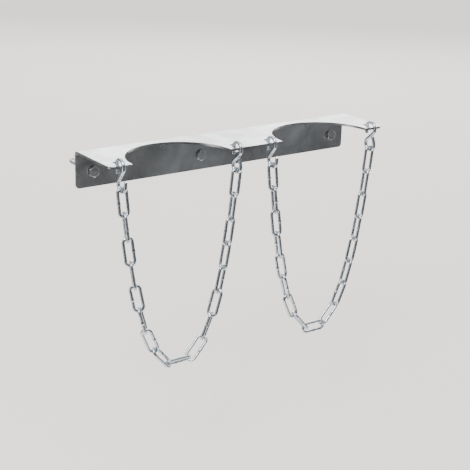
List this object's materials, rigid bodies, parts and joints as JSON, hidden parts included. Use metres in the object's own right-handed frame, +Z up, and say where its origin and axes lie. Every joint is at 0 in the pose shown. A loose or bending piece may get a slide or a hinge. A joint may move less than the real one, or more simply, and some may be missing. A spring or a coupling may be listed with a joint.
{
  "type": "gas cylinder wall bracket",
  "caption": "Folded steel wall bracket with round cylinder seats side by side, each closed in front by a loose safety chain on S-hooks.",
  "frame": {"origin": "middle of the plate's back face, which lies on the wall", "axes": "+Z up, +Y into the wall, +X to the right along the plate"},
  "size_m": [0.42, 0.1534, 0.2892],
  "materials": {
    "plate_zinc": "hot-dip galvanised, mottled grey",
    "screw_zinc": "zinc plated",
    "hook_zinc": "bright zinc, slightly blue",
    "chain_zinc": "galvanised, silver grey"
  },
  "bodies": {
    "bracket": {"bracket_plate": "plate_zinc", "wall_screw_left": "screw_zinc", "wall_screw_middle": "screw_zinc", "wall_screw_right": "screw_zinc"},
    "left_chain_release_hook": {"left_chain_release_hook": "hook_zinc"},
    "left_chain_keeper_hook": {"left_chain_keeper_hook": "hook_zinc"},
    "left_chain_link_01": {"left_chain_link_01": "chain_zinc"},
    "left_chain_link_02": {"left_chain_link_02": "chain_zinc"},
    "left_chain_link_03": {"left_chain_link_03": "chain_zinc"},
    "left_chain_link_04": {"left_chain_link_04": "chain_zinc"},
    "left_chain_link_05": {"left_chain_link_05": "chain_zinc"},
    "left_chain_link_06": {"left_chain_link_06": "chain_zinc"},
    "left_chain_link_07": {"left_chain_link_07": "chain_zinc"},
    "left_chain_link_08": {"left_chain_link_08": "chain_zinc"},
    "left_chain_link_09": {"left_chain_link_09": "chain_zinc"},
    "left_chain_link_10": {"left_chain_link_10": "chain_zinc"},
    "left_chain_link_11": {"left_chain_link_11": "chain_zinc"},
    "left_chain_link_12": {"left_chain_link_12": "chain_zinc"},
    "left_chain_link_13": {"left_chain_link_13": "chain_zinc"},
    "left_chain_link_14": {"left_chain_link_14": "chain_zinc"},
    "left_chain_link_15": {"left_chain_link_15": "chain_zinc"},
    "left_chain_link_16": {"left_chain_link_16": "chain_zinc"},
    "left_chain_link_17": {"left_chain_link_17": "chain_zinc"},
    "right_chain_release_hook": {"right_chain_release_hook": "hook_zinc"},
    "right_chain_keeper_hook": {"right_chain_keeper_hook": "hook_zinc"},
    "right_chain_link_01": {"right_chain_link_01": "chain_zinc"},
    "right_chain_link_02": {"right_chain_link_02": "chain_zinc"},
    "right_chain_link_03": {"right_chain_link_03": "chain_zinc"},
    "right_chain_link_04": {"right_chain_link_04": "chain_zinc"},
    "right_chain_link_05": {"right_chain_link_05": "chain_zinc"},
    "right_chain_link_06": {"right_chain_link_06": "chain_zinc"},
    "right_chain_link_07": {"right_chain_link_07": "chain_zinc"},
    "right_chain_link_08": {"right_chain_link_08": "chain_zinc"},
    "right_chain_link_09": {"right_chain_link_09": "chain_zinc"},
    "right_chain_link_10": {"right_chain_link_10": "chain_zinc"},
    "right_chain_link_11": {"right_chain_link_11": "chain_zinc"},
    "right_chain_link_12": {"right_chain_link_12": "chain_zinc"},
    "right_chain_link_13": {"right_chain_link_13": "chain_zinc"},
    "right_chain_link_14": {"right_chain_link_14": "chain_zinc"},
    "right_chain_link_15": {"right_chain_link_15": "chain_zinc"},
    "right_chain_link_16": {"right_chain_link_16": "chain_zinc"},
    "right_chain_link_17": {"right_chain_link_17": "chain_zinc"}
  },
  "joints": [
    {"name": "left_chain_release_hook_swing", "type": "hinge", "parent": "bracket", "child": "left_chain_release_hook", "pos_m": [-0.1935, -0.0815, 0.02173], "axis": [-1, 0, 0], "range_deg": [-5, 45]},
    {"name": "left_chain_keeper_hook_swing", "type": "hinge", "parent": "bracket", "child": "left_chain_keeper_hook", "pos_m": [-0.0265, -0.0815, 0.02173], "axis": [-1, 0, 0], "range_deg": [-5, 45]},
    {"name": "left_chain_swing", "type": "hinge", "parent": "left_chain_release_hook", "child": "left_chain_link_01", "pos_m": [-0.194, -0.08533, -0.00366], "axis": [-0.9997, -0.0229, 0.002], "range_deg": [-8, 40]},
    {"name": "left_chain_far_swing", "type": "hinge", "parent": "left_chain_keeper_hook", "child": "left_chain_link_17", "pos_m": [-0.026, -0.08148, -0.004], "axis": [-0.9997, -0.0229, 0.002], "range_deg": [-8.02, 40.02]},
    {"name": "left_chain_sway", "type": "hinge", "parent": "left_chain_link_01", "child": "left_chain_link_02", "pos_m": [-0.19022, -0.08525, -0.03745], "axis": [0, 1, 0], "range_deg": [-2.78, 2.78]},
    {"name": "left_chain_joint_03", "type": "hinge", "parent": "left_chain_link_02", "child": "left_chain_link_03", "pos_m": [-0.18622, -0.08515, -0.0691], "axis": [0, 1, 0], "range_deg": [-1.77, 1.77]},
    {"name": "left_chain_joint_04", "type": "hinge", "parent": "left_chain_link_03", "child": "left_chain_link_04", "pos_m": [-0.18154, -0.08504, -0.10065], "axis": [0, 1, 0], "range_deg": [-0.74, 0.74]},
    {"name": "left_chain_joint_05", "type": "hinge", "parent": "left_chain_link_04", "child": "left_chain_link_05", "pos_m": [-0.17597, -0.0849, -0.13206], "axis": [0, 1, 0], "range_deg": [-0.31, 0.31]},
    {"name": "left_chain_joint_06", "type": "hinge", "parent": "left_chain_link_05", "child": "left_chain_link_06", "pos_m": [-0.16903, -0.08477, -0.1632], "axis": [0, 1, 0], "range_deg": [-1.34, 1.34]},
    {"name": "left_chain_joint_07", "type": "hinge", "parent": "left_chain_link_06", "child": "left_chain_link_07", "pos_m": [-0.16, -0.08448, -0.19379], "axis": [0, 1, 0], "range_deg": [-2.37, 2.37]},
    {"name": "left_chain_joint_08", "type": "hinge", "parent": "left_chain_link_07", "child": "left_chain_link_08", "pos_m": [-0.14697, -0.08444, -0.22288], "axis": [0, 1, 0], "range_deg": [-3.39, 3.39]},
    {"name": "left_chain_joint_16", "type": "hinge", "parent": "left_chain_link_17", "child": "left_chain_link_16", "pos_m": [-0.02977, -0.08156, -0.03769], "axis": [0, 1, 0], "range_deg": [-2.79, 2.79]},
    {"name": "left_chain_joint_15", "type": "hinge", "parent": "left_chain_link_16", "child": "left_chain_link_15", "pos_m": [-0.03379, -0.08166, -0.06933], "axis": [0, 1, 0], "range_deg": [-1.77, 1.77]},
    {"name": "left_chain_joint_14", "type": "hinge", "parent": "left_chain_link_15", "child": "left_chain_link_14", "pos_m": [-0.03849, -0.08177, -0.10088], "axis": [0, 1, 0], "range_deg": [-0.74, 0.74]},
    {"name": "left_chain_joint_13", "type": "hinge", "parent": "left_chain_link_14", "child": "left_chain_link_13", "pos_m": [-0.04406, -0.08189, -0.13229], "axis": [0, 1, 0], "range_deg": [-0.31, 0.31]},
    {"name": "left_chain_joint_12", "type": "hinge", "parent": "left_chain_link_13", "child": "left_chain_link_12", "pos_m": [-0.05103, -0.08208, -0.16342], "axis": [0, 1, 0], "range_deg": [-1.34, 1.34]},
    {"name": "left_chain_joint_11", "type": "hinge", "parent": "left_chain_link_12", "child": "left_chain_link_11", "pos_m": [-0.06009, -0.08222, -0.19401], "axis": [0, 1, 0], "range_deg": [-2.37, 2.37]},
    {"name": "left_chain_joint_10", "type": "hinge", "parent": "left_chain_link_11", "child": "left_chain_link_10", "pos_m": [-0.07321, -0.08278, -0.22306], "axis": [0, 1, 0], "range_deg": [-3.39, 3.39]},
    {"name": "left_chain_joint_09", "type": "hinge", "parent": "left_chain_link_10", "child": "left_chain_link_09", "pos_m": [-0.09462, -0.08245, -0.24663], "axis": [0, 1, 0], "range_deg": [-4.42, 4.42]},
    {"name": "right_chain_release_hook_swing", "type": "hinge", "parent": "bracket", "child": "right_chain_release_hook", "pos_m": [0.0265, -0.0815, 0.02173], "axis": [-1, 0, 0], "range_deg": [-5, 45]},
    {"name": "right_chain_keeper_hook_swing", "type": "hinge", "parent": "bracket", "child": "right_chain_keeper_hook", "pos_m": [0.1935, -0.0815, 0.02173], "axis": [-1, 0, 0], "range_deg": [-5, 45]},
    {"name": "right_chain_swing", "type": "hinge", "parent": "right_chain_release_hook", "child": "right_chain_link_01", "pos_m": [0.02599, -0.08533, -0.00366], "axis": [-0.9997, -0.0241, 0.002], "range_deg": [-8, 40]},
    {"name": "right_chain_far_swing", "type": "hinge", "parent": "right_chain_keeper_hook", "child": "right_chain_link_17", "pos_m": [0.19401, -0.08128, -0.004], "axis": [-0.9997, -0.0241, 0.002], "range_deg": [-8.02, 40.02]},
    {"name": "right_chain_sway", "type": "hinge", "parent": "right_chain_link_01", "child": "right_chain_link_02", "pos_m": [0.02981, -0.08525, -0.03745], "axis": [0, 1, 0], "range_deg": [-2.75, 2.75]},
    {"name": "right_chain_joint_03", "type": "hinge", "parent": "right_chain_link_02", "child": "right_chain_link_03", "pos_m": [0.03385, -0.08515, -0.06909], "axis": [0, 1, 0], "range_deg": [-1.75, 1.75]},
    {"name": "right_chain_joint_04", "type": "hinge", "parent": "right_chain_link_03", "child": "right_chain_link_04", "pos_m": [0.03857, -0.08504, -0.10064], "axis": [0, 1, 0], "range_deg": [-0.73, 0.73]},
    {"name": "right_chain_joint_05", "type": "hinge", "parent": "right_chain_link_04", "child": "right_chain_link_05", "pos_m": [0.04418, -0.0849, -0.13204], "axis": [0, 1, 0], "range_deg": [-0.32, 0.32]},
    {"name": "right_chain_joint_06", "type": "hinge", "parent": "right_chain_link_05", "child": "right_chain_link_06", "pos_m": [0.05119, -0.08474, -0.16316], "axis": [0, 1, 0], "range_deg": [-1.34, 1.34]},
    {"name": "right_chain_joint_07", "type": "hinge", "parent": "right_chain_link_06", "child": "right_chain_link_07", "pos_m": [0.06024, -0.08452, -0.19375], "axis": [0, 1, 0], "range_deg": [-2.36, 2.36]},
    {"name": "right_chain_joint_08", "type": "hinge", "parent": "right_chain_link_07", "child": "right_chain_link_08", "pos_m": [0.07354, -0.08421, -0.22269], "axis": [0, 1, 0], "range_deg": [-3.37, 3.37]},
    {"name": "right_chain_joint_16", "type": "hinge", "parent": "right_chain_link_17", "child": "right_chain_link_16", "pos_m": [0.1902, -0.08137, -0.03768], "axis": [0, 1, 0], "range_deg": [-2.76, 2.76]},
    {"name": "right_chain_joint_15", "type": "hinge", "parent": "right_chain_link_16", "child": "right_chain_link_15", "pos_m": [0.18615, -0.08147, -0.06932], "axis": [0, 1, 0], "range_deg": [-1.75, 1.75]},
    {"name": "right_chain_joint_14", "type": "hinge", "parent": "right_chain_link_15", "child": "right_chain_link_14", "pos_m": [0.18141, -0.08158, -0.10087], "axis": [0, 1, 0], "range_deg": [-0.73, 0.73]},
    {"name": "right_chain_joint_13", "type": "hinge", "parent": "right_chain_link_14", "child": "right_chain_link_13", "pos_m": [0.17579, -0.08171, -0.13227], "axis": [0, 1, 0], "range_deg": [-0.32, 0.32]},
    {"name": "right_chain_joint_12", "type": "hinge", "parent": "right_chain_link_13", "child": "right_chain_link_12", "pos_m": [0.16875, -0.08187, -0.16338], "axis": [0, 1, 0], "range_deg": [-1.34, 1.34]},
    {"name": "right_chain_joint_11", "type": "hinge", "parent": "right_chain_link_12", "child": "right_chain_link_11", "pos_m": [0.15965, -0.0821, -0.19396], "axis": [0, 1, 0], "range_deg": [-2.36, 2.36]},
    {"name": "right_chain_joint_10", "type": "hinge", "parent": "right_chain_link_11", "child": "right_chain_link_10", "pos_m": [0.14627, -0.08241, -0.22286], "axis": [0, 1, 0], "range_deg": [-3.37, 3.37]},
    {"name": "right_chain_joint_09", "type": "hinge", "parent": "right_chain_link_10", "child": "right_chain_link_09", "pos_m": [0.12514, -0.08296, -0.24703], "axis": [0, 1, 0], "range_deg": [-4.39, 4.39]}
  ],
  "couplings": [
    {"joint": "left_chain_keeper_hook_swing", "follows": "left_chain_release_hook_swing", "ratio": 1},
    {"joint": "left_chain_far_swing", "follows": "left_chain_swing", "ratio": 1},
    {"joint": "left_chain_joint_03", "follows": "left_chain_sway", "ratio": 0.6308},
    {"joint": "left_chain_joint_04", "follows": "left_chain_sway", "ratio": 0.2616},
    {"joint": "left_chain_joint_05", "follows": "left_chain_sway", "ratio": -0.1076},
    {"joint": "left_chain_joint_06", "follows": "left_chain_sway", "ratio": -0.4768},
    {"joint": "left_chain_joint_07", "follows": "left_chain_sway", "ratio": -0.846},
    {"joint": "left_chain_joint_08", "follows": "left_chain_sway", "ratio": -1.2152},
    {"joint": "left_chain_joint_16", "follows": "left_chain_sway", "ratio": 0.9994},
    {"joint": "left_chain_joint_15", "follows": "left_chain_sway", "ratio": 0.6303},
    {"joint": "left_chain_joint_14", "follows": "left_chain_sway", "ratio": 0.2613},
    {"joint": "left_chain_joint_13", "follows": "left_chain_sway", "ratio": -0.1077},
    {"joint": "left_chain_joint_12", "follows": "left_chain_sway", "ratio": -0.4767},
    {"joint": "left_chain_joint_11", "follows": "left_chain_sway", "ratio": -0.8457},
    {"joint": "left_chain_joint_10", "follows": "left_chain_sway", "ratio": -1.2147},
    {"joint": "left_chain_joint_09", "follows": "left_chain_sway", "ratio": -1.5838},
    {"joint": "right_chain_keeper_hook_swing", "follows": "right_chain_release_hook_swing", "ratio": 1},
    {"joint": "right_chain_far_swing", "follows": "right_chain_swing", "ratio": 1},
    {"joint": "right_chain_joint_03", "follows": "right_chain_sway", "ratio": 0.6298},
    {"joint": "right_chain_joint_04", "follows": "right_chain_sway", "ratio": 0.2595},
    {"joint": "right_chain_joint_05", "follows": "right_chain_sway", "ratio": -0.1107},
    {"joint": "right_chain_joint_06", "follows": "right_chain_sway", "ratio": -0.4809},
    {"joint": "right_chain_joint_07", "follows": "right_chain_sway", "ratio": -0.8512},
    {"joint": "right_chain_joint_08", "follows": "right_chain_sway", "ratio": -1.2214},
    {"joint": "right_chain_joint_16", "follows": "right_chain_sway", "ratio": 0.9997},
    {"joint": "right_chain_joint_15", "follows": "right_chain_sway", "ratio": 0.6296},
    {"joint": "right_chain_joint_14", "follows": "right_chain_sway", "ratio": 0.2594},
    {"joint": "right_chain_joint_13", "follows": "right_chain_sway", "ratio": -0.1107},
    {"joint": "right_chain_joint_12", "follows": "right_chain_sway", "ratio": -0.4809},
    {"joint": "right_chain_joint_11", "follows": "right_chain_sway", "ratio": -0.851},
    {"joint": "right_chain_joint_10", "follows": "right_chain_sway", "ratio": -1.2212},
    {"joint": "right_chain_joint_09", "follows": "right_chain_sway", "ratio": -1.5913}
  ]
}
